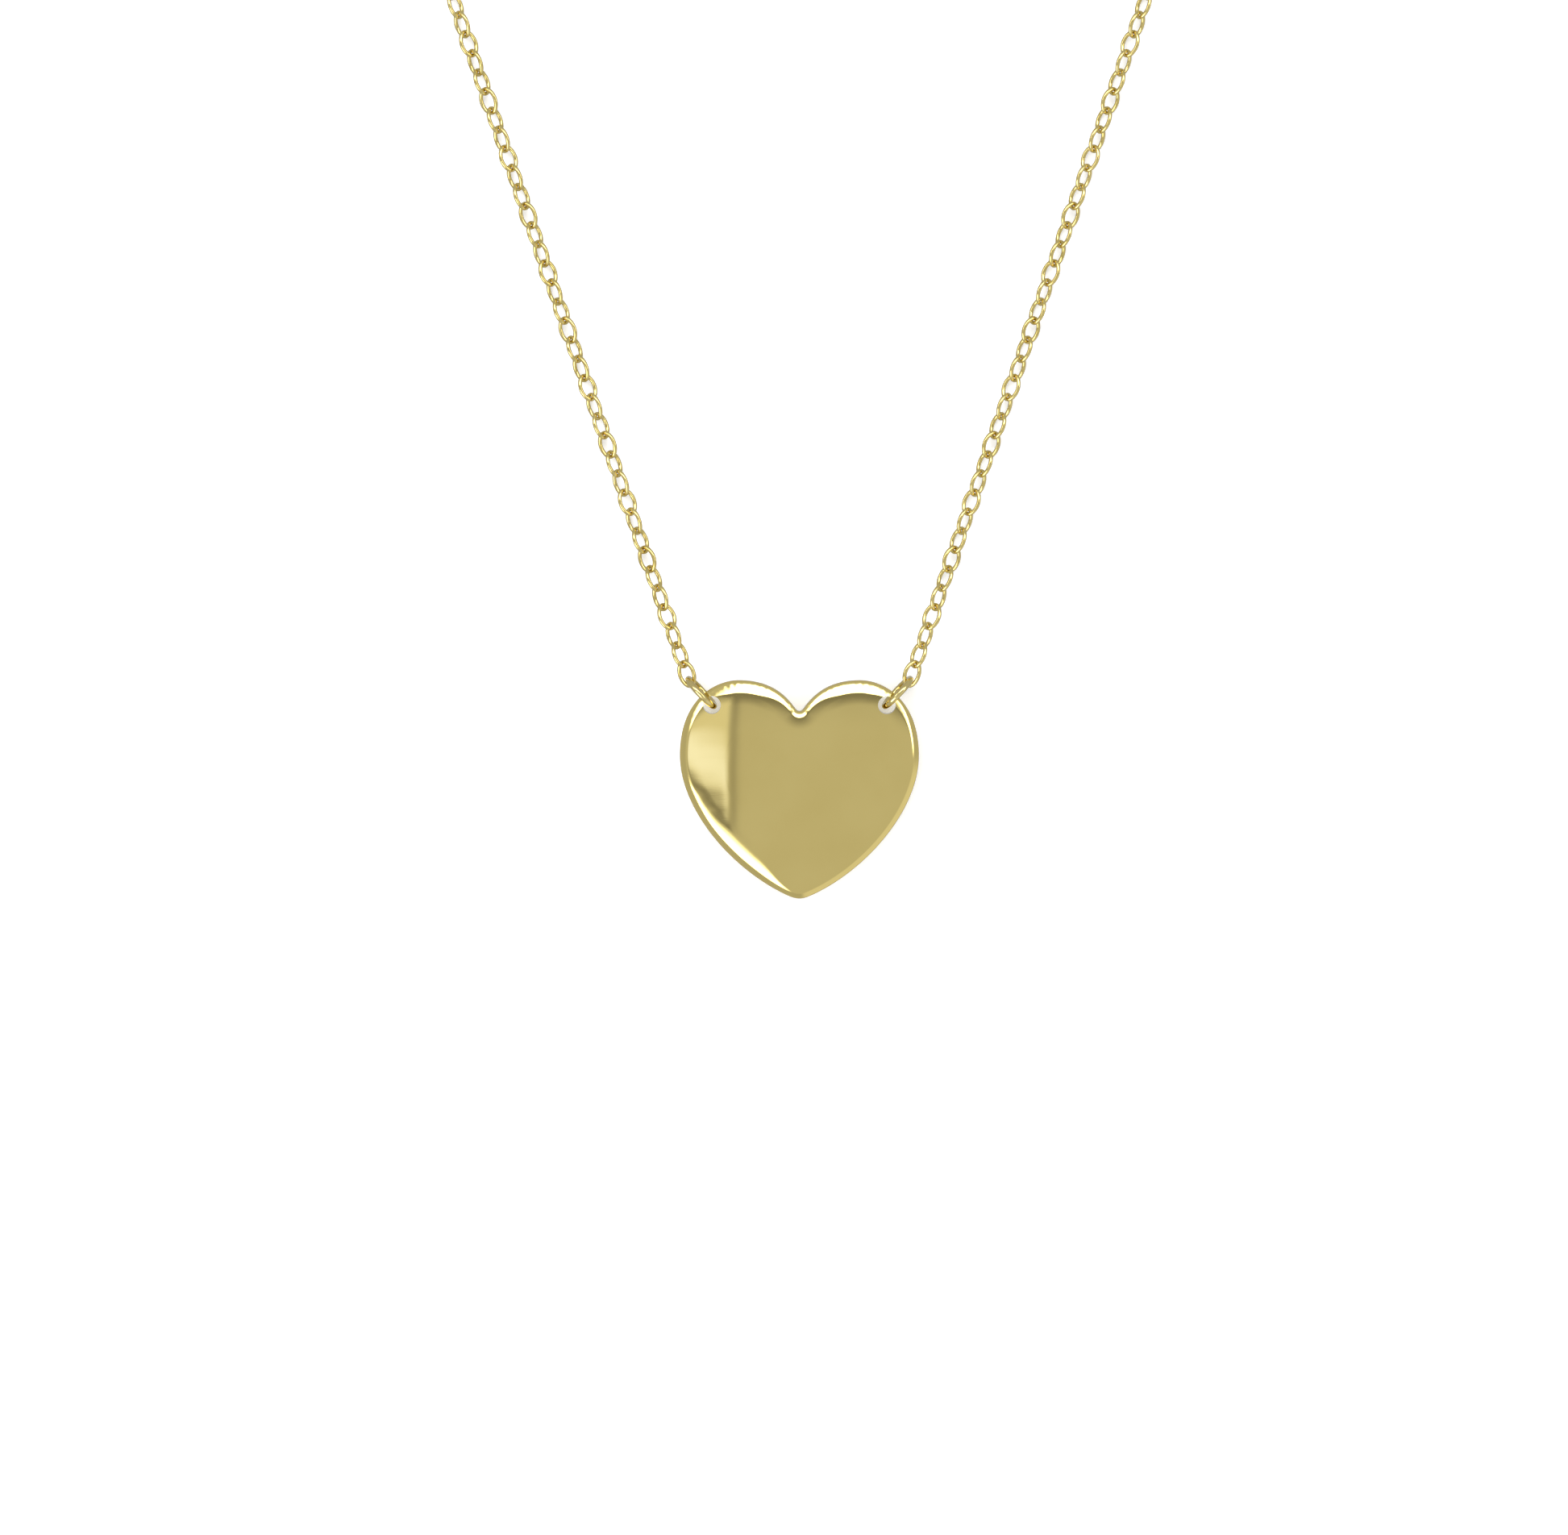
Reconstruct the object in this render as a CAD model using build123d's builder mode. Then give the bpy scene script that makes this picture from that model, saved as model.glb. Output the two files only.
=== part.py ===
from build123d import *
from math import asin, cos, degrees, pi, radians, sin, tan
import os

# A fine cable-chain necklace with a solid heart, lying unfastened on a flat surface.
# +Z is up, the heart's point is towards -Y and the two free ends are towards +Y.
# All lengths are millimetres and all angles degrees.

# ---- heart ----
heart_width = 14.0
heart_thickness = 1.4  # in the middle of its slightly domed face
dome_radius = 55.0
lobe_top = 6.38  # height of the lobes above the heart's centre
waist_height = 1.98  # height at which the heart is widest
notch_depth_y = 4.38
point_y = -6.50
point_slope = 19.0  # of the sides where they meet at the point
point_handle = 3.26
notch_radius = 0.25
point_radius = 1.2
front_edge_radius = 0.5
back_edge_radius = 0.2
hole_x = 5.12
hole_y = 4.95
hole_radius = 0.52

# ---- jump rings beside the heart ----
heart_ring_wire = 0.38
heart_ring_radius = 1.08  # to the middle of the wire
heart_ring_reach = 0.92  # from the hole to the ring's centre, seen from above
heart_ring_lean = 6.0
heart_ring_heading = 46.8  # direction of the ring from the hole, from +X towards +Y

# ---- chain ----
link_wire = 0.24
link_length = 1.70
link_width = 1.20
link_end_radius = 0.33  # to the middle of the wire
link_pitch = 1.185
link_rolls = (32.5, 47.5, 50.0)  # lie of three links in a row, from flat
links_per_length = 30
lengths_per_leg = 6
leg_spread = 19.1  # lean of each leg from +Y
straight_run = 100.0
bend_radius = 150.0
rise_run = 9.0  # the chain rises from the surface to its end rings over this length
touch_gap = 0.02
ring_slack = 0.1  # play of the end links on their rings

# ---- end rings, clasp and tag ----
end_ring_wire = 0.4
end_ring_radius = 1.1
end_ring_roll = 50.0
end_ring_slack = 0.4  # play of the clasp and the tag on their rings
case_radius = 2.25  # of the round case, to the middle of its tube
tube_radius = 0.75
tube_bore = 0.5
mouth_start = 20.0  # the mouth of the case, by angle from the leg's heading
mouth_end = 75.0
bolt_radius = 0.4
bolt_tip = 83.0
bolt_tail = -60.0
bolt_travel = 65.0
lever_angle = 5.0
lever_radius = 0.2
lever_length = 1.5
lever_head_radius = 0.42
lever_head_height = 0.3
slot_half_width = 0.28
slot_spare_angle = 7.0
eye_radius = 0.95
eye_wire = 0.36
spring_wire = 0.12
spring_radius = 0.36
spring_turns = 8
spring_points_per_turn = 12
spring_span = (-176.0, -130.0)
tag_thickness = 0.36
tag_big_radius = 1.75
tag_small_radius = 1.2
tag_centres = 3.4
tag_big_hole = 1.05
tag_small_hole = 0.72
tag_drop = 0.3  # how far the tag hangs below its ring's centre

os.makedirs("parts", exist_ok=True)

# ---- heights ----
heart_ring_height = heart_ring_radius * cos(radians(heart_ring_lean)) + heart_ring_wire / 2
chain_height = (link_width - link_wire) / 2 * sin(radians(max(link_rolls))) + link_wire / 2
end_ring_height = end_ring_radius * sin(radians(end_ring_roll)) + end_ring_wire / 2

# The heart rests on its point and on the two rings, which pass under its shoulders.
heart_half = heart_width / 2
rim_thickness = heart_thickness - (hole_x**2 + hole_y**2) / (2 * dome_radius)
heart_slope = asin((heart_ring_height - rim_thickness / 2) / (hole_y - point_y))

# ---- plan of one leg, measured from the heart's centre ----
ring_far_reach = heart_ring_reach + heart_ring_radius
leg_start_x = hole_x + ring_far_reach * cos(radians(heart_ring_heading))
leg_start_y = hole_y + ring_far_reach * sin(radians(heart_ring_heading))
half_link = (link_length - link_wire) / 2
first_link = half_link - (heart_ring_wire + link_wire) / 2 - ring_slack
link_count = links_per_length * lengths_per_leg
leg_length = first_link + (link_count - 1) * link_pitch + half_link
end_ring_at = leg_length - (link_wire + end_ring_wire) / 2 - ring_slack + end_ring_radius
end_ring_far = end_ring_at + end_ring_radius
eye_at = end_ring_far - (end_ring_wire + eye_wire) / 2 - end_ring_slack + eye_radius
case_at = eye_at + eye_radius + tube_radius + case_radius


def leg_plan(run):
    """Place of a point of the right leg from above, and its heading from +Y."""
    heading = leg_spread
    x = leg_start_x + min(run, straight_run) * sin(radians(leg_spread))
    y = leg_start_y + min(run, straight_run) * cos(radians(leg_spread))
    if run > straight_run:
        heading = leg_spread - degrees((run - straight_run) / bend_radius)
        x += bend_radius * (cos(radians(heading)) - cos(radians(leg_spread)))
        y += bend_radius * (sin(radians(leg_spread)) - sin(radians(heading)))
    return x, y, heading


# The origin is below the middle of the necklace's outline, so the heart stands at -Y.
lever_reach = case_radius + lever_length + lever_head_height
lever_turn = radians(lever_angle + leg_plan(case_at)[2])
necklace_top = leg_plan(case_at)[1] + lever_reach * cos(lever_turn)
necklace_bottom = point_y + point_radius * (1 / cos(radians(point_slope)) - 1)
heart_centre_y = -(necklace_top + necklace_bottom) / 2


def ease(share):
    """Smooth step from 0 to 1."""
    share = min(max(share, 0), 1)
    return share * share * (3 - 2 * share)


def chain_level(run):
    """Height of the chain's middle line above the surface."""
    to_heart = ease(1 - run / rise_run) * (heart_ring_height - chain_height)
    to_end = ease(1 - (leg_length - run) / rise_run) * (end_ring_height - chain_height)
    return chain_height + to_heart + to_end


def leg_point(run, side):
    """Place of a point of a leg's middle line; side is +1 on the right and -1 on the left."""
    x, y, heading = leg_plan(run)
    return Vector(side * x, heart_centre_y + y, chain_level(run))


def rolled_plane(origin, along, roll):
    """A plane whose x runs along the chain and which is rolled about it from flat."""
    across = Vector(0, 0, 1).cross(along).normalized()
    up = along.cross(across).normalized()
    normal = up * cos(radians(roll)) + across * sin(radians(roll))
    return Plane(origin=origin, x_dir=along, z_dir=normal)


def link_plane(number, side):
    """Where a link of a leg lies, counted from the heart; neighbours roll opposite ways."""
    middle = first_link + number * link_pitch
    near = leg_point(middle - half_link, side)
    far = leg_point(middle + half_link, side)
    way = 1 if number % 2 else -1
    roll = side * way * link_rolls[number % len(link_rolls)]
    return rolled_plane((near + far) / 2, (far - near).normalized(), roll)


def flat_plane(run, side, height):
    """A level plane at a point past a leg's end, with x along the leg's heading."""
    x, y, heading = leg_plan(run)
    along = Vector(side * sin(radians(heading)), cos(radians(heading)), 0)
    return Plane(origin=(side * x, heart_centre_y + y, height), x_dir=along, z_dir=(0, 0, 1))


def save(piece, name):
    """Label a finished piece and write it to its own file."""
    piece.label = name
    export_step(piece, f"parts/{name}.step")


# ---- heart pendant ----
# Its plane lies on the back face, under the heart's centre, and slopes up from the point.
heart_plane = Plane(
    origin=(0, heart_centre_y, -point_y * sin(heart_slope)),
    x_dir=(1, 0, 0),
    z_dir=(0, -sin(heart_slope), cos(heart_slope)),
)
point_control = (point_handle, point_y + point_handle * tan(radians(point_slope)))
with BuildPart() as heart:
    with BuildSketch(heart_plane):
        with BuildLine():
            Bezier((0, notch_depth_y), (0.67, 5.45), (1.58, lobe_top), (3.55, lobe_top))
            Bezier((3.55, lobe_top), (4.93, lobe_top), (heart_half, 5.25), (heart_half, waist_height))
            Bezier((heart_half, waist_height), (heart_half, -1.55), point_control, (0, point_y))
            mirror(about=Plane.YZ)
        make_face()
    extrude(amount=heart_thickness)
    corners = edges().filter_by(Axis(heart_plane.origin, heart_plane.z_dir)).sort_by(Axis.Y)
    fillet(corners[0], point_radius)
    fillet(corners[-1], notch_radius)
    with Locations(heart_plane.offset(heart_thickness - dome_radius)):
        Sphere(dome_radius, mode=Mode.INTERSECT)
    fillet(faces().sort_by(Axis.Z)[-1].edges(), front_edge_radius)
    fillet(faces().sort_by(Axis.Z)[0].edges(), back_edge_radius)
    with BuildSketch(heart_plane):
        with Locations((-hole_x, hole_y), (hole_x, hole_y)):
            Circle(hole_radius)
    extrude(amount=heart_thickness, mode=Mode.SUBTRACT)
save(heart.part, "heart")

# ---- jump rings beside the heart ----
for side, side_name in ((-1, "left"), (1, "right")):
    ring_heading = radians(heart_ring_heading)
    outward = Vector(side * cos(ring_heading), sin(ring_heading), 0)
    ring_centre = Vector(side * hole_x, heart_centre_y + hole_y, heart_ring_height)
    ring_centre += outward * heart_ring_reach
    ring_plane = rolled_plane(ring_centre, outward, side * (90 - heart_ring_lean))
    with BuildPart() as heart_ring:
        with Locations(ring_plane):
            Torus(heart_ring_radius, heart_ring_wire / 2)
    save(heart_ring.part, f"{side_name}_jump_ring")

# ---- one link: round wire bent to an oval of four arcs ----
end_x = half_link
side_y = (link_width - link_wire) / 2
end_centre_x = end_x - link_end_radius
side_radius = (end_centre_x**2 + side_y**2 - link_end_radius**2) / (2 * (side_y - link_end_radius))
side_centre_y = side_y - side_radius
reach = side_radius / (side_radius - link_end_radius)
join_x = end_centre_x * reach
join_y = side_centre_y * (1 - reach)
with BuildPart() as link:
    with BuildLine() as oval:
        ThreePointArc((-join_x, join_y), (0, side_y), (join_x, join_y))
        ThreePointArc((join_x, join_y), (end_x, 0), (join_x, -join_y))
        ThreePointArc((join_x, -join_y), (0, -side_y), (-join_x, -join_y))
        ThreePointArc((-join_x, -join_y), (-end_x, 0), (-join_x, join_y))
    with BuildSketch(Plane(origin=oval.line @ 0, z_dir=oval.line % 0)):
        Circle(link_wire / 2)
    sweep()

# ---- the two legs, in lengths of equal links ----
for side, side_name in ((-1, "left"), (1, "right")):
    for length_number in range(lengths_per_leg):
        first = length_number * links_per_length
        planes = [link_plane(first + step, side) for step in range(links_per_length)]
        with BuildPart() as chain_length:
            with Locations(*planes):
                add(link.part)
        save(chain_length.part, f"{side_name}_chain_{length_number + 1}")

# ---- the ring at the end of each leg ----
last_way = 1 if (link_count - 1) % 2 else -1
for side, ring_name in ((-1, "clasp_jump_ring"), (1, "tag_jump_ring")):
    level = flat_plane(end_ring_at, side, end_ring_height)
    end_ring_plane = rolled_plane(level.origin, level.x_dir, -side * last_way * end_ring_roll)
    with BuildPart() as end_ring:
        with Locations(end_ring_plane):
            Torus(end_ring_radius, end_ring_wire / 2)
    save(end_ring.part, ring_name)

# ---- spring ring clasp on the left leg ----
clasp_plane = flat_plane(case_at, -1, tube_radius)
clasp_axis = Axis(clasp_plane.origin, clasp_plane.z_dir)


def tube_section(angle):
    """A plane across the case's tube, with x pointing out from the case's centre."""
    out = clasp_plane.x_dir.rotate(Axis.Z, angle)
    return Plane(
        origin=clasp_plane.origin + out * case_radius,
        x_dir=out,
        z_dir=clasp_plane.z_dir.cross(out) * -1,
    )


slot_start = lever_angle - bolt_travel - slot_spare_angle
slot_angle = bolt_travel + 2 * slot_spare_angle
with BuildPart() as case:
    with BuildSketch(tube_section(mouth_end)):
        Circle(tube_radius)
        Circle(tube_bore, mode=Mode.SUBTRACT)
    revolve(axis=clasp_axis, revolution_arc=360 - (mouth_end - mouth_start))
    with BuildSketch(tube_section(slot_start)):
        with Locations((tube_radius, 0)):
            Rectangle(2 * (tube_radius - bolt_radius), 2 * slot_half_width)
    revolve(axis=clasp_axis, revolution_arc=slot_angle, mode=Mode.SUBTRACT)
    with Locations(flat_plane(eye_at, -1, tube_radius)):
        Torus(eye_radius, eye_wire / 2)
save(case.part, "clasp_case")

lever_plane = tube_section(lever_angle)
lever_foot = Plane(origin=lever_plane.origin, z_dir=lever_plane.x_dir)
with BuildPart() as bolt:
    with BuildSketch(tube_section(bolt_tail)):
        Circle(bolt_radius)
    revolve(axis=clasp_axis, revolution_arc=bolt_tip - bolt_tail)
    with BuildSketch(lever_foot):
        Circle(lever_radius + touch_gap)
    extrude(amount=bolt_radius, mode=Mode.SUBTRACT)
save(bolt.part, "clasp_bolt")

with BuildPart() as lever:
    with BuildSketch(lever_foot.offset(touch_gap)):
        Circle(lever_radius)
    extrude(amount=lever_length)
    with BuildSketch(lever_foot.offset(lever_length)):
        Circle(lever_head_radius)
    extrude(amount=lever_head_height)
    fillet(faces().sort_by(Axis(lever_foot.origin, lever_foot.z_dir))[-1].edges(), lever_head_height / 2)
save(lever.part, "clasp_lever")

spring_steps = spring_points_per_turn * spring_turns
spring_points = []
for step in range(spring_steps + 1):
    share = step / spring_steps
    section = tube_section(spring_span[0] + share * (spring_span[1] - spring_span[0]))
    wind = 2 * pi * spring_turns * share
    wound = (spring_radius * cos(wind), spring_radius * sin(wind), 0)
    spring_points.append(section.from_local_coords(wound))
with BuildPart() as spring:
    with BuildLine() as coil:
        Spline(*spring_points)
    with BuildSketch(Plane(origin=coil.line @ 0, z_dir=coil.line % 0)):
        Circle(spring_wire / 2)
    sweep()
save(spring.part, "clasp_spring")

# ---- end tag on the right leg, lifted at its small hole by its ring ----
tag_near_at = end_ring_far - end_ring_wire / 2 - end_ring_slack + tag_small_hole
tag_near = flat_plane(tag_near_at, 1, end_ring_height - tag_drop)
tag_slope = asin((end_ring_height - tag_drop - tag_thickness / 2) / (tag_centres + tag_big_radius))
tag_x_dir = tag_near.x_dir * cos(tag_slope) - Vector(0, 0, sin(tag_slope))
tag_z_dir = tag_near.x_dir * sin(tag_slope) + Vector(0, 0, cos(tag_slope))
tag_plane = Plane(origin=tag_near.origin, x_dir=tag_x_dir, z_dir=tag_z_dir)
with BuildPart() as tag:
    with BuildSketch(tag_plane.offset(-tag_thickness / 2)):
        Circle(tag_small_radius)
        with Locations((tag_centres, 0)):
            Circle(tag_big_radius)
        make_hull()
        Circle(tag_small_hole, mode=Mode.SUBTRACT)
        with Locations((tag_centres, 0)):
            Circle(tag_big_hole, mode=Mode.SUBTRACT)
    extrude(amount=tag_thickness)
save(tag.part, "end_tag")
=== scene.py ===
import math

import bmesh
import bpy
import numpy as np
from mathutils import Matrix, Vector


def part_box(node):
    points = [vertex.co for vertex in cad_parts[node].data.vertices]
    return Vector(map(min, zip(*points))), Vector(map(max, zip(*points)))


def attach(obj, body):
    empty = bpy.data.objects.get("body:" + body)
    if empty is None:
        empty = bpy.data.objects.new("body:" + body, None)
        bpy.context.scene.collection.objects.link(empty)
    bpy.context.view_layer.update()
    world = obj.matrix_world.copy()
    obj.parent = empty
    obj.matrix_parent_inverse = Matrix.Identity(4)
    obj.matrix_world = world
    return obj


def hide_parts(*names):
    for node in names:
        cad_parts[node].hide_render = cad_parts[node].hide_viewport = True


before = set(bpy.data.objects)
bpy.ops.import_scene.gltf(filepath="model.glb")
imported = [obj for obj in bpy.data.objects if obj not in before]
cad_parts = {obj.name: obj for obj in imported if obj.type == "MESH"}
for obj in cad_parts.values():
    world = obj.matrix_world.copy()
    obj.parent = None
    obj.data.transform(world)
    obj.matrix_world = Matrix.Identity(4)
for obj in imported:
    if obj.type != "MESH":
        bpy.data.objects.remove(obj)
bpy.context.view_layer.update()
MM = 0.001
rng = np.random.default_rng(11)

# ---------------------------------------------------------------- heart, in mm, in its own plane
NOTCH_Y = 4.38
LOBE_TOP = 6.38
HALF_WIDTH = 7.0
WAIST_Y = 1.98
POINT_Y = -6.50
POINT_SLOPE = math.radians(19)
POINT_HANDLE = 3.26
NOTCH_RADIUS = 0.25
POINT_RADIUS = 1.2
DOME_RADIUS = 55.0
HOLES = ((-5.12, 4.95), (5.12, 4.95))
HOLE_RADIUS = 0.52
ROUND_OVER = 0.05
LIP_WIDTH = 0.26
LIP_TILT = math.radians(27)
BACK_ROUND = 0.2
RIM_DEPTH = 0.9
AROUND = 720
MESH_CENTRE_Y = -0.2
MARGIN_EDGE = 3.32
MARGIN_WIDTH = 1.4
MARGIN_FALL = math.radians(6)
CREASE = math.radians(50)
NEARBY = 14

# ---------------------------------------------------------------- wire loops
LINK_ALONG = 56
LINK_AROUND = 14
LINK_SEAM = 0.05
LINK_END_SHARE = 0.33 / 0.48
RING_ALONG = 120
RING_AROUND = 22
RING_SEAM = 0.1

# ---------------------------------------------------------------- studio, in metres
TENT_RADIUS = 6.0
TENT_ROWS = 120
TENT_COLUMNS = 360
FLOOR_RADIUS = 5.9
FLOOR_DROP = 0.00002
FLOOR_WHITE = 0.86
FLOOR_GLOW = 0.38
ROOM_LIGHT = 0.5

# ---------------------------------------------------------------- photograph's framing
FRAME_WIDTH = 91.7 * MM
CAMERA_HEIGHT = 0.6
SENSOR = 36.0
CAMERA_SHIFT_X = -0.90 * MM
CAMERA_SHIFT_Y = 1.23 * MM
CENTRE_OF_HEART = 0.045 * MM


def smooth(x, a, b):
    """0 below a, 1 above b, smooth between."""
    t = np.clip((x - a) / (b - a), 0, 1)
    return t * t * (3 - 2 * t)


def window(x, a, b, soft):
    """1 between a and b, with soft edges."""
    return smooth(x, a - soft, a + soft) * (1 - smooth(x, b - soft, b + soft))


def new_object(name, points, faces, material):
    """A smooth-shaded mesh object; points in metres."""
    mesh = bpy.data.meshes.new(name)
    mesh.from_pydata([tuple(p) for p in points], [], faces)
    mesh.validate()
    mesh.update()
    mesh.polygons.foreach_set("use_smooth", [True] * len(mesh.polygons))
    mesh.materials.append(material)
    made = bpy.data.objects.new(name, mesh)
    bpy.context.scene.collection.objects.link(made)
    return made


def set_wear(made, wear):
    """How rubbed each point of a mesh is, for its material to read."""
    values = made.data.attributes.new("wear", "FLOAT", "POINT").data
    values.foreach_set("value", wear.astype(np.float32))


# ---------------------------------------------------------------- materials
def gold(name, colour, deep, roughness, grain, bump, scratch):
    """Polished gold: colour drift, rubbed and dull patches, fine polishing lines and wear on edges."""
    mat = bpy.data.materials.new(name)
    mat.use_nodes = True
    nt = mat.node_tree
    nodes, link = nt.nodes, nt.links.new
    shader = nodes["Principled BSDF"]
    shader.inputs["Metallic"].default_value = 1.0
    place = nodes.new("ShaderNodeTexCoord")

    drift = nodes.new("ShaderNodeTexNoise")
    drift.inputs["Scale"].default_value = 260
    drift.inputs["Detail"].default_value = 3
    link(place.outputs["Object"], drift.inputs["Vector"])
    tone = nodes.new("ShaderNodeValToRGB")
    tone.color_ramp.elements[0].position = 0.3
    tone.color_ramp.elements[0].color = (*deep, 1)
    tone.color_ramp.elements[1].position = 0.62
    tone.color_ramp.elements[1].color = (*colour, 1)
    link(drift.outputs["Fac"], tone.inputs["Fac"])

    exposed = nodes.new("ShaderNodeAttribute")
    exposed.attribute_name = "wear"
    worn = nodes.new("ShaderNodeMixRGB")
    pale = [min(1.0, c * 1.06 + 0.02) for c in colour]
    worn.inputs["Color2"].default_value = (*pale, 1)
    edge_share = nodes.new("ShaderNodeMath")
    edge_share.operation = "MULTIPLY"
    edge_share.inputs[1].default_value = 0.5
    link(exposed.outputs["Fac"], edge_share.inputs[0])
    link(edge_share.outputs["Value"], worn.inputs["Fac"])
    link(tone.outputs["Color"], worn.inputs["Color1"])
    link(worn.outputs["Color"], shader.inputs["Base Color"])

    patches = nodes.new("ShaderNodeTexNoise")
    patches.inputs["Scale"].default_value = 900
    patches.inputs["Detail"].default_value = 5
    link(place.outputs["Object"], patches.inputs["Vector"])
    dull = nodes.new("ShaderNodeMapRange")
    dull.inputs["From Min"].default_value = 0.3
    dull.inputs["From Max"].default_value = 0.75
    dull.inputs["To Min"].default_value = roughness[0]
    dull.inputs["To Max"].default_value = roughness[1]
    link(patches.outputs["Fac"], dull.inputs["Value"])
    link(dull.outputs["Result"], shader.inputs["Roughness"])

    stretch = nodes.new("ShaderNodeMapping")
    stretch.inputs["Rotation"].default_value = (0.15, 0.1, math.radians(38))
    stretch.inputs["Scale"].default_value = (1, 24, 1)
    link(place.outputs["Object"], stretch.inputs["Vector"])
    lines = nodes.new("ShaderNodeTexNoise")
    lines.inputs["Scale"].default_value = grain
    lines.inputs["Detail"].default_value = 4
    link(stretch.outputs["Vector"], lines.inputs["Vector"])
    fine = nodes.new("ShaderNodeBump")
    fine.inputs["Strength"].default_value = scratch
    fine.inputs["Distance"].default_value = 0.00001
    link(lines.outputs["Fac"], fine.inputs["Height"])
    ripple = nodes.new("ShaderNodeTexNoise")
    ripple.inputs["Scale"].default_value = 420
    ripple.inputs["Detail"].default_value = 1
    link(place.outputs["Object"], ripple.inputs["Vector"])
    peel = nodes.new("ShaderNodeBump")
    peel.inputs["Strength"].default_value = bump
    peel.inputs["Distance"].default_value = 0.00004
    link(ripple.outputs["Fac"], peel.inputs["Height"])
    link(fine.outputs["Normal"], peel.inputs["Normal"])
    link(peel.outputs["Normal"], shader.inputs["Normal"])
    return mat


heart_gold = gold("heart_gold", (0.83, 0.675, 0.255), (0.80, 0.645, 0.235), (0.035, 0.075), 1400, 0.05, 0.03)
ring_gold = gold("ring_gold", (0.77, 0.635, 0.27), (0.70, 0.56, 0.2), (0.07, 0.15), 2500, 0.15, 0.1)
chain_gold = gold("chain_gold", (0.79, 0.645, 0.255), (0.72, 0.57, 0.19), (0.07, 0.15), 3000, 0.15, 0.12)
clasp_gold = gold("clasp_gold", (0.83, 0.67, 0.26), (0.77, 0.61, 0.21), (0.05, 0.12), 1600, 0.12, 0.12)
spring_steel = gold("spring_steel", (0.62, 0.62, 0.63), (0.45, 0.44, 0.42), (0.2, 0.4), 3000, 0.1, 0.2)


# ---------------------------------------------------------------- heart outline
def bezier(p0, p1, p2, p3, count):
    t = np.linspace(0, 1, count)[:, None]
    p0, p1, p2, p3 = (np.array(p, float) for p in (p0, p1, p2, p3))
    return (1 - t) ** 3 * p0 + 3 * (1 - t) ** 2 * t * p1 + 3 * (1 - t) * t * t * p2 + t**3 * p3


def arc(centre, radius, start, end, count):
    a = np.linspace(start, end, count)
    return np.array(centre) + radius * np.stack([np.cos(a), np.sin(a)], 1)


def run_of(line):
    return np.concatenate([[0], np.cumsum(np.linalg.norm(np.diff(line, axis=0), axis=1))])


def heart_outline():
    """Closed outline, notch first, evenly spaced, with its outward normals."""
    control = (POINT_HANDLE, POINT_Y + POINT_HANDLE * math.tan(POINT_SLOPE))
    half = np.concatenate([
        bezier((0, NOTCH_Y), (0.67, 5.45), (1.58, LOBE_TOP), (3.55, LOBE_TOP), 400)[:-1],
        bezier((3.55, LOBE_TOP), (4.93, LOBE_TOP), (HALF_WIDTH, 5.25), (HALF_WIDTH, WAIST_Y), 400)[:-1],
        bezier((HALF_WIDTH, WAIST_Y), (HALF_WIDTH, -1.55), control, (0, POINT_Y), 600),
    ])
    ahead = np.gradient(half, axis=0)
    ahead /= np.linalg.norm(ahead, axis=1)[:, None]
    outward = np.stack([-ahead[:, 1], ahead[:, 0]], 1)
    notch_centre = half + NOTCH_RADIUS * outward
    point_centre = half - POINT_RADIUS * outward
    first = np.argmax(notch_centre[:, 0] > 0)
    final = len(half) - 1 - np.argmax(point_centre[::-1, 0] > 0)
    notch = arc((0, notch_centre[first, 1]), NOTCH_RADIUS, -math.pi / 2,
                math.atan2(-outward[first, 1], -outward[first, 0]), 60)
    point = arc((0, point_centre[final, 1]), POINT_RADIUS,
                math.atan2(outward[final, 1], outward[final, 0]), -math.pi / 2, 60)
    half = np.concatenate([notch, half[first + 1:final], point])
    run = run_of(half)
    even = np.linspace(0, run[-1], AROUND // 2 + 1)
    half = np.stack([np.interp(even, run, half[:, i]) for i in (0, 1)], 1)
    mirrored = half[1:-1][::-1] * (-1, 1)
    line = np.concatenate([half, mirrored])
    ahead = np.roll(line, -1, 0) - np.roll(line, 1, 0)
    ahead /= np.linalg.norm(ahead, axis=1)[:, None]
    outward = np.stack([-ahead[:, 1], ahead[:, 0]], 1)
    return line, outward


def edge_shape(line, outward):
    """For each outline point: bevel width, crease softness, inner and outer bevel tilt, and roll-in tilt."""
    x, y = line[:, 0], line[:, 1]
    run = run_of(np.concatenate([line, line[:1]]))[:-1]
    upper = smooth(outward[:, 1], 0.15, 0.75)
    lobe = 0.36 + 0.32 * smooth(np.abs(x), 0.3, 2.4) - 0.2 * smooth(np.abs(x), 4.1, 5.6)
    lower = smooth(-x, 0.5, 3.2) * smooth(-outward[:, 1], 0.1, 0.5)
    low_left = lower * (0.25 + 0.75 * smooth(-y, 0.8, 4.2)) * smooth(-y, -0.2, 0.8)
    side = 0.42 - 0.06 * smooth(-y, 0, 3)
    width = upper * lobe + (1 - upper) * side + 0.5 * low_left
    soft = 0.05 + 0.42 * low_left
    lip = LIP_WIDTH - 0.11 * upper + 0.09 * low_left
    beads = np.sin(2 * math.pi * run / 0.43) * np.sin(run * 1.7 + 0.6)
    inner = 14 - 3 * low_left
    outer = 21 - 3.5 * upper + 2 * upper * beads - 3 * low_left
    roll_tilt = 7 * upper + 2 * (1 - upper)
    return width, soft, lip, np.radians(inner), np.radians(outer), np.radians(roll_tilt)


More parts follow.
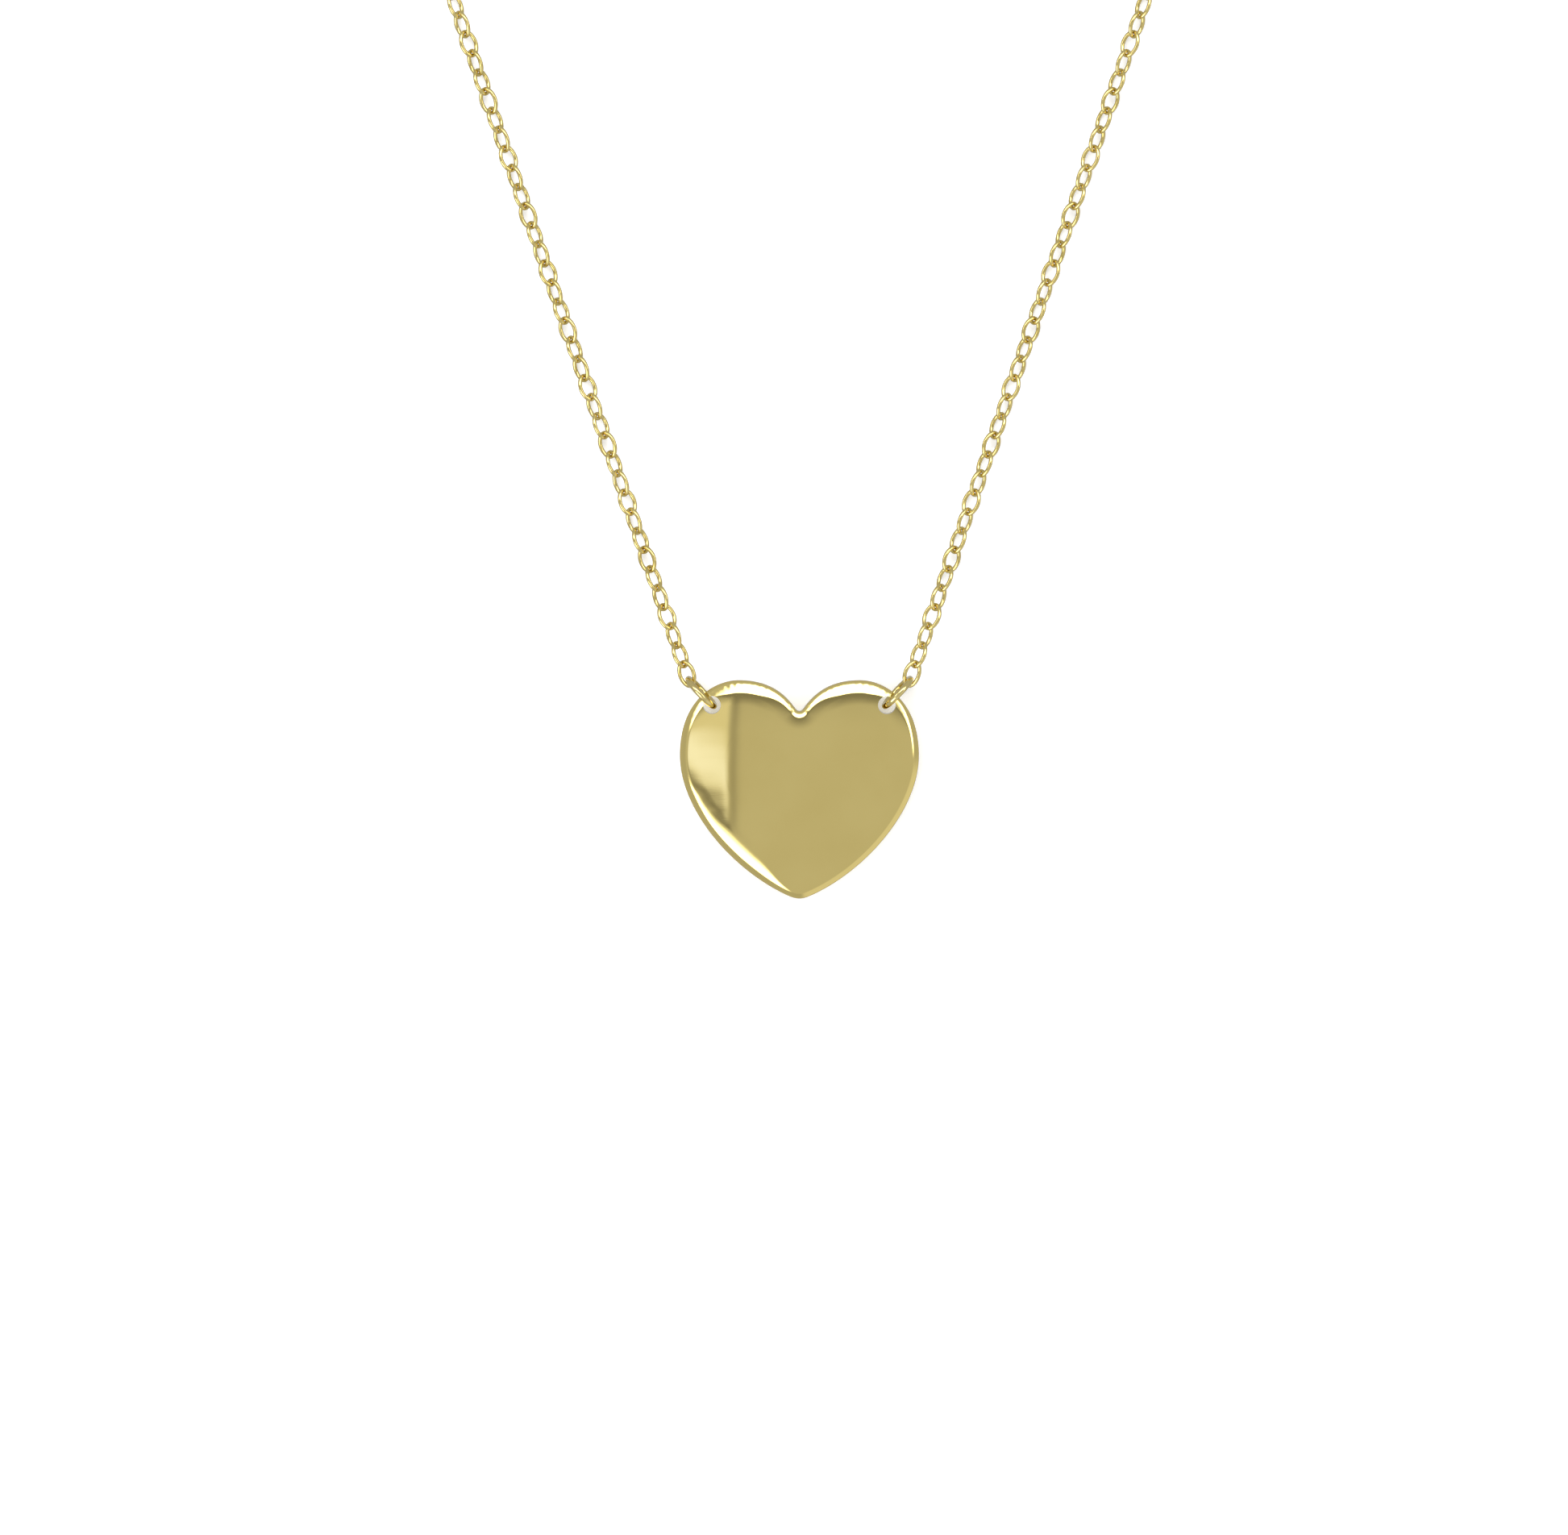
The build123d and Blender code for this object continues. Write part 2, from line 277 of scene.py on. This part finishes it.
def edge_drop(depth, shape):
    """How far the front drops below the face at each depth in from the outline (rings x around)."""
    width, soft, lip_width, inner, outer, roll_tilt = shape
    steps = np.linspace(0, 2.2, 441)
    s = steps[:, None]
    across = np.clip((s - lip_width) / np.maximum(width - lip_width, 0.05), 0, 1)
    tilt = outer + (inner - outer) * across
    lip = 1 - smooth(s, lip_width - 0.05, lip_width + 0.05)
    tilt = tilt + lip * (LIP_TILT + 0.08 * (1 - s / lip_width) - tilt)
    past = smooth(s, width - soft, width + soft)
    rolled = roll_tilt * (1 - np.clip((s - width) / 0.75, 0, 1))
    slope = np.tan(tilt * (1 - past) + rolled * past)
    total = np.cumsum(slope[::-1], 0)[::-1] * (steps[1] - steps[0])
    drop = np.empty_like(depth)
    for i in range(depth.shape[1]):
        drop[:, i] = np.interp(depth[:, i], steps, total[:, i])
    inside = np.clip(ROUND_OVER - depth, 0, ROUND_OVER)
    return drop + ROUND_OVER - np.sqrt(np.maximum(ROUND_OVER**2 - inside**2, 0))


def heart_frame():
    """The heart's plane as packed: origin under its centre, x, y and upward directions, thickness."""
    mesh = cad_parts["heart"].data
    areas = np.zeros(len(mesh.polygons))
    mesh.polygons.foreach_get("area", areas)
    normals = np.zeros(len(mesh.polygons) * 3)
    mesh.polygons.foreach_get("normal", normals)
    normals = normals.reshape(-1, 3)
    back = normals[np.argmax(np.where(normals[:, 2] < -0.9, areas, 0))]
    up = -back / np.linalg.norm(back)
    across = np.array([1.0, 0, 0])
    along = np.cross(up, across)
    co = np.array([v.co for v in mesh.vertices], float)
    low = (co @ up).min()
    thick = (co @ up).max() - low
    top = (co @ along).max() / MM
    return up * low + along * (top - LOBE_TOP) * MM, across, along, up, thick / MM


def build_heart():
    origin, across, along, up, thick = heart_frame()
    line, outward = heart_outline()
    shape = edge_shape(line, outward)
    rim = np.concatenate([
        [0, 0.003, 0.01, 0.022, 0.04, 0.062, 0.09, 0.12, 0.15],
        np.arange(0.18, RIM_DEPTH, 0.03),
    ])
    centre = np.array([0, MESH_CENTRE_Y])
    inner_line = line - outward * RIM_DEPTH
    shares = np.concatenate([np.linspace(1, 0.72, 28), np.linspace(0.72, 0.06, 26)[1:]])
    rows, depths = [], []
    for depth in rim:
        rows.append(line - outward * depth)
        depths.append(np.full(AROUND, depth))
    reach = np.einsum("ij,ij->i", inner_line - centre, outward)
    for share in shares:
        rows.append(centre + share * (inner_line - centre))
        depths.append(RIM_DEPTH + (1 - share) * np.maximum(reach, 0.5))
    plan = np.array(rows)
    depth = np.array(depths)
    count = len(plan)
    x, y = plan[..., 0], plan[..., 1]
    top = thick - (x * x + y * y) / (2 * DOME_RADIUS) - edge_drop(depth, shape)
    # the left margin was polished back a little, so the face turns down past a soft line
    edge_x = MARGIN_EDGE - 0.05 * np.clip(y - 1.8, 0, None)
    edge_x = edge_x + 0.016 * np.sin(2.1 * y) + 0.004 * np.sin(5.3 * y + 1)
    past = -x - edge_x
    t = np.clip(past / MARGIN_WIDTH, 0, 1)
    lean = math.tan(MARGIN_FALL) * smooth(y, -4.2, -1.2)
    top -= lean * (MARGIN_WIDTH * (t**3 - t**4 / 2) + np.clip(past - MARGIN_WIDTH, 0, None))
    bottom = BACK_ROUND - np.sqrt(np.maximum(BACK_ROUND**2 - np.clip(BACK_ROUND - depth, 0, None) ** 2, 0))

    index = np.arange(count * AROUND).reshape(count, AROUND)
    quads = []
    for k in range(count - 1):
        a, b = index[k], index[k + 1]
        quads.append(np.stack([a, b, np.roll(b, -1), np.roll(a, -1)], 1))
    quads = np.concatenate(quads)
    flat = plan.reshape(-1, 2)
    middle = flat[quads].mean(1)
    open_faces = np.zeros(len(quads), bool)
    for hole in HOLES:
        open_faces |= np.linalg.norm(middle - hole, axis=1) < HOLE_RADIUS
    kept = quads[~open_faces]
    gone = quads[open_faces]

    def edges(q):
        return {(int(f[i]), int(f[(i + 1) % 4])) for f in q for i in range(4)}

    gone_edges = edges(gone)
    wall = [e for e in edges(kept) if (e[1], e[0]) in gone_edges]
    top, bottom = top.reshape(-1), bottom.reshape(-1)
    drawn, height = flat.copy(), top.copy()
    for hole in HOLES:
        off = flat - hole
        away = np.linalg.norm(off, axis=1)
        ring = [v for e in wall for v in e if away[v] < 2 * HOLE_RADIUS]
        ring = np.unique(ring)
        flat[ring] = np.array(hole) + off[ring] / away[ring][:, None] * HOLE_RADIUS
        # a moved point takes the height of the surface where it now is
        for v in ring:
            gap = drawn - flat[v]
            near = np.argsort((gap**2).sum(1))[:NEARBY]
            plane = np.c_[np.ones(NEARBY), gap[near]]
            top[v] = np.linalg.lstsq(plane, height[near], rcond=None)[0][0]

    total = len(flat)
    faces = [tuple(int(v) for v in f[::-1]) for f in kept]
    faces += [tuple(int(v) + total for v in f) for f in kept]
    points = np.concatenate([np.c_[flat, top], np.c_[flat, bottom]])
    # the middle closes to one point on each side
    heads = [(0.0, centre[1], thick - centre[1] ** 2 / (2 * DOME_RADIUS)), (0.0, centre[1], 0.0)]
    points = np.concatenate([points, heads])
    last = index[-1]
    for i in range(AROUND):
        j = (i + 1) % AROUND
        faces.append((2 * total, int(last[j]), int(last[i])))
        faces.append((2 * total + 1, int(last[i]) + total, int(last[j]) + total))
    # side wall, in four bands
    levels = []
    for share in (0.25, 0.5, 0.75):
        start = len(points)
        z = top[:AROUND] * (1 - share) + bottom[:AROUND] * share
        points = np.concatenate([points, np.c_[flat[:AROUND], z]])
        levels.append(np.arange(start, start + AROUND))
    stack = [np.arange(AROUND), *levels, np.arange(AROUND) + total]
    for a, b in zip(stack, stack[1:]):
        for i in range(AROUND):
            j = (i + 1) % AROUND
            faces.append((int(a[i]), int(a[j]), int(b[j]), int(b[i])))
    for a, b in wall:
        faces.append((a, b, b + total, a + total))
    world = origin + MM * (points[:, :1] * across + points[:, 1:2] * along + points[:, 2:] * up)
    heart = new_object("heart_plate", world, faces, heart_gold)
    wear = np.zeros(len(points))
    wear[:total] = np.exp(-((depth.reshape(-1) / 0.12) ** 2))
    set_wear(heart, wear)
    bm = bmesh.new()
    bm.from_mesh(heart.data)
    bmesh.ops.delete(bm, geom=[v for v in bm.verts if not v.link_faces], context="VERTS")
    bmesh.ops.recalc_face_normals(bm, faces=bm.faces)
    for e in bm.edges:
        if e.is_manifold and e.calc_face_angle() > CREASE:
            e.smooth = False
    bm.to_mesh(heart.data)
    bm.free()
    return heart


# ---------------------------------------------------------------- wire work
def islands(node):
    """The separate solids of a CAD node, each as an array of its points."""
    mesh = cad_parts[node].data
    co = np.zeros(len(mesh.vertices) * 3, np.float32)
    mesh.vertices.foreach_get("co", co)
    co = co.reshape(-1, 3).astype(float)
    _, same = np.unique(np.round(co * 1e7).astype(np.int64), axis=0, return_inverse=True)
    same = same.reshape(-1)
    ends = np.zeros(len(mesh.edges) * 2, np.int64)
    mesh.edges.foreach_get("vertices", ends)
    a, b = same[ends[0::2]], same[ends[1::2]]
    label = np.arange(same.max() + 1)
    while True:
        low = np.minimum(label[a], label[b])
        before = label.copy()
        np.minimum.at(label, a, low)
        np.minimum.at(label, b, low)
        label = label[label]
        if np.array_equal(before, label):
            break
    group = label[same]
    return [co[group == g] for g in np.unique(group)]


def pose_of(points):
    """Centre, axes (long, wide, thin) and full sizes of a wire loop."""
    spread = points - points.mean(0)
    axes = np.linalg.svd(np.linalg.qr(spread)[1])[2]
    local = spread @ axes.T
    low, high = local.min(0), local.max(0)
    centre = points.mean(0) + axes.T @ ((low + high) / 2)
    if np.linalg.det(axes) < 0:
        axes[2] = -axes[2]
    return centre, axes, high - low


def oval(half_length, half_width, end_radius, count):
    """Evenly spaced centre line of an oval link made of four tangent arcs."""
    c = half_length - end_radius
    side = (c * c + half_width**2 - end_radius**2) / (2 * (half_width - end_radius))
    turn = math.atan2(c, side - half_width)
    dense = np.concatenate([
        arc((c, 0), end_radius, 0, math.pi / 2 - turn, 40)[:-1],
        arc((0, half_width - side), side, math.pi / 2 - turn, math.pi / 2 + turn, 80)[:-1],
        arc((-c, 0), end_radius, math.pi / 2 + turn, 3 * math.pi / 2 - turn, 80)[:-1],
        arc((0, side - half_width), side, 3 * math.pi / 2 - turn, 3 * math.pi / 2 + turn, 80)[:-1],
        arc((c, 0), end_radius, -math.pi / 2 + turn, 0, 40),
    ])
    run = run_of(dense)
    even = np.linspace(0, run[-1], count + 1)[:-1]
    return np.stack([np.interp(even, run, dense[:, i]) for i in (0, 1)], 1)


def loop_tube(line, radius, sides):
    """Closed tube round a flat closed line; radius per point. Local points and faces."""
    ahead = np.roll(line, -1, 0) - np.roll(line, 1, 0)
    ahead /= np.linalg.norm(ahead, axis=1)[:, None]
    out = np.stack([ahead[:, 1], -ahead[:, 0]], 1)
    turn = np.linspace(0, 2 * math.pi, sides, endpoint=False)
    ring = radius[:, None] * np.cos(turn)
    flat = line[:, None, :] + out[:, None, :] * ring[..., None]
    high = radius[:, None] * np.sin(turn)
    points = np.concatenate([flat, high[..., None]], 2).reshape(-1, 3)
    n = len(line)
    index = np.arange(n * sides).reshape(n, sides)
    ahead_index = np.roll(index, -1, 0)
    quads = np.stack([index, ahead_index, np.roll(ahead_index, -1, 1), np.roll(index, -1, 1)], 2)
    return points, quads.reshape(-1, 4)


def build_wire_loops(node, name, material, count, sides, end_share, seam):
    """Every solid of a CAD node as a finely swept wire loop with a closed joint."""
    points, faces, start = [], [], 0
    for solid in islands(node):
        centre, axes, size = pose_of(solid)
        wire = size[2] / 2
        half_length, half_width = size[0] / 2 - wire, size[1] / 2 - wire
        if end_share is None:
            turn = np.linspace(0, 2 * math.pi, count, endpoint=False)
            line = half_length * np.stack([np.cos(turn), np.sin(turn)], 1)
        else:
            line = oval(half_length, half_width, half_width * end_share, count)
        along = np.arange(count) / count
        joint = rng.uniform(0.2, 0.3) if end_share is not None else 0.13
        off = np.abs((along - joint + 0.5) % 1 - 0.5)
        radius = wire * (0.985 + 0.012 * np.sin(2 * math.pi * (along * 3 + rng.uniform())))
        dip = np.exp(-((off / 0.006) ** 2))
        swell = np.exp(-((off / 0.03) ** 2))
        radius = radius * (1 - seam * dip + 0.35 * seam * swell)
        local, quads = loop_tube(line, radius, sides)
        points.append(centre + local @ axes)
        faces.append(quads + start)
        start += len(local)
    all_faces = [tuple(int(v) for v in f) for f in np.concatenate(faces)]
    made = new_object(name, np.concatenate(points), all_faces, material)
    turn = np.linspace(0, 2 * math.pi, sides, endpoint=False)
    outward = np.clip(np.cos(turn), 0, 1) ** 3
    set_wear(made, np.tile(outward, start // sides))
    return made


heart = build_heart()
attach(heart, "heart")
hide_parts("heart")

for side in ("left", "right"):
    for number in range(1, 7):
        node = f"{side}_chain_{number}"
        links = build_wire_loops(node, f"{side}_links_{number}", chain_gold,
                                 LINK_ALONG, LINK_AROUND, LINK_END_SHARE, LINK_SEAM)
        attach(links, node)
        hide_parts(node)
for node in ("left_jump_ring", "right_jump_ring", "clasp_jump_ring", "tag_jump_ring"):
    ring = build_wire_loops(node, node + "_wire", ring_gold, RING_ALONG, RING_AROUND, None, RING_SEAM)
    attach(ring, node)
    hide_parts(node)

# these keep the CAD's own meshes and take only a material
kept_nodes = {
    "clasp_case": clasp_gold,
    "clasp_bolt": clasp_gold,
    "clasp_lever": clasp_gold,
    "end_tag": clasp_gold,
    "clasp_spring": spring_steel,
}
for node, material in kept_nodes.items():
    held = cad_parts[node]
    held.data.materials.clear()
    held.data.materials.append(material)


# ---------------------------------------------------------------- studio: floor and light tent
def plain_material(name, colour, roughness):
    mat = bpy.data.materials.new(name)
    mat.use_nodes = True
    shader = mat.node_tree.nodes["Principled BSDF"]
    shader.inputs["Base Color"].default_value = (*colour, 1)
    shader.inputs["Roughness"].default_value = roughness
    shader.inputs["Specular IOR Level"].default_value = 0.0
    return mat


def tent_light(x, y, z):
    """Brightness of the light tent in a direction from the object, in degrees from straight up."""
    zenith = np.degrees(np.arccos(np.clip(z, -1, 1)))
    tilt_x = np.degrees(np.arctan2(x, np.maximum(z, 1e-3)))
    tilt_y = np.degrees(np.arctan2(y, np.maximum(z, 1e-3)))
    way = np.degrees(np.arctan2(y, x))
    light = 0.62 - 0.09 * smooth(zenith, 55, 62) + 0.28 * window(way, -80, -8, 8) * smooth(zenith, 50, 62)
    slant = tilt_y + 0.4 * (tilt_x + 24.5)
    beside = window(tilt_x, -31, -17.5, 2.5)
    light += beside * (0.22 * window(slant, -8.5, 16, 1.5) + 0.36 * window(slant, -7.5, -0.5, 3))
    light -= 0.18 * window(tilt_x, -16, -9.5, 3.2) * smooth(slant, -13, -6) * (1 - smooth(tilt_y, 2, 16))
    light -= 0.34 * window(tilt_x, -36, -14, 3) * window(slant, -12.5, -8.8, 1.8)
    olive = smooth(tilt_y, -1 + 6 * smooth(-tilt_x, 12, 18), 16) * (1 - smooth(tilt_y, 18, 22))
    light -= 0.36 * olive * window(tilt_x, -36, 36, 6)
    light += 3.8 * smooth(tilt_y, 20, 24) * (1 - smooth(zenith, 39, 45)) * window(way, 42, 138, 6)
    light += 3.6 * window(way, 0, 40, 6) * window(zenith, 43, 54, 3)
    light += 3.6 * window(way, 144, 168, 5) * window(zenith, 43, 54, 3)
    low_box = window(tilt_x, -60, -14, 4) * (1 - smooth(slant, -34, -13)) * (1 - smooth(zenith, 58, 63))
    light += 3.6 * low_box * window(way, -162, -112, 6)
    light = np.clip(light, 0.12, None)
    cool = beside * window(slant, -7.5, -0.5, 3) * (light < 1.5)
    return np.stack([light * (1 - 0.05 * cool), light * (1 + 0.02 * cool), light * (1 + 0.4 * cool)], -1)


def build_tent(radius):
    rows, columns = TENT_ROWS, TENT_COLUMNS
    down = np.radians(np.linspace(0.2, 90, rows))[:, None]
    turn = np.radians(np.linspace(0, 360, columns, endpoint=False))[None, :]
    x, y, z = np.sin(down) * np.cos(turn), np.sin(down) * np.sin(turn), np.cos(down) * np.ones_like(turn)
    points = np.stack([x, y, z], 2).reshape(-1, 3)
    index = np.arange(rows * columns).reshape(rows, columns)
    nxt = np.roll(index, -1, 1)
    quads = np.stack([index[:-1], index[1:], nxt[1:], nxt[:-1]], 2).reshape(-1, 4)
    mat = bpy.data.materials.new("tent_light")
    mat.use_nodes = True
    nt = mat.node_tree
    nt.nodes.clear()
    out = nt.nodes.new("ShaderNodeOutputMaterial")
    glow = nt.nodes.new("ShaderNodeEmission")
    level = nt.nodes.new("ShaderNodeAttribute")
    level.attribute_name = "level"
    nt.links.new(level.outputs["Color"], glow.inputs["Color"])
    nt.links.new(glow.outputs["Emission"], out.inputs["Surface"])
    faces = [tuple(int(v) for v in f) for f in quads]
    faces.append(tuple(int(v) for v in index[0][::-1]))
    mat.cycles.emission_sampling = "NONE"
    tent = new_object("light_tent", points * radius, faces, mat)
    levels = tent.data.attributes.new("level", "FLOAT_COLOR", "POINT")
    light = tent_light(x, y, z).reshape(-1, 3)
    levels.data.foreach_set("color", np.c_[light, np.ones(len(light))].reshape(-1).astype(np.float32))
    tent.visible_camera = False
    return tent


def build_floor(radius):
    ring = np.radians(np.arange(0, 360, 5))
    points = [(0, 0, 0)] + [(radius * math.cos(a), radius * math.sin(a), 0) for a in ring]
    faces = [(0, i + 1, (i + 1) % len(ring) + 1) for i in range(len(ring))]
    white = plain_material("floor_white", (FLOOR_WHITE,) * 3, 0.9)
    white.node_tree.nodes["Principled BSDF"].inputs["Emission Color"].default_value = (1, 1, 1, 1)
    white.node_tree.nodes["Principled BSDF"].inputs["Emission Strength"].default_value = FLOOR_GLOW
    floor = new_object("floor", points, faces, white)
    floor.visible_glossy = False
    return floor


tent = build_tent(TENT_RADIUS)
heart_low, heart_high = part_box("heart")
heart_mid = (heart_low + heart_high) / 2
tent.location = (heart_mid.x, heart_mid.y, 0)
floor = build_floor(FLOOR_RADIUS)
floor.location = (heart_mid.x, heart_mid.y, -FLOOR_DROP)
world = bpy.data.worlds.new("studio")
world.use_nodes = True
world.node_tree.nodes["Background"].inputs["Color"].default_value = (1, 1, 1, 1)
world.node_tree.nodes["Background"].inputs["Strength"].default_value = ROOM_LIGHT
bpy.context.scene.world = world
bpy.context.scene.view_settings.view_transform = "Standard"

camera_data = bpy.data.cameras.new("camera")
camera_data.sensor_width = SENSOR
camera_data.lens = SENSOR * (CAMERA_HEIGHT - heart_high.z) / FRAME_WIDTH
camera_data.clip_start = 0.01
camera = bpy.data.objects.new("camera", camera_data)
bpy.context.scene.collection.objects.link(camera)
camera.location = (
    heart_mid.x + CAMERA_SHIFT_X,
    heart_mid.y + CENTRE_OF_HEART + CAMERA_SHIFT_Y,
    CAMERA_HEIGHT,
)
bpy.context.scene.camera = camera

bpy.context.view_layer.update()
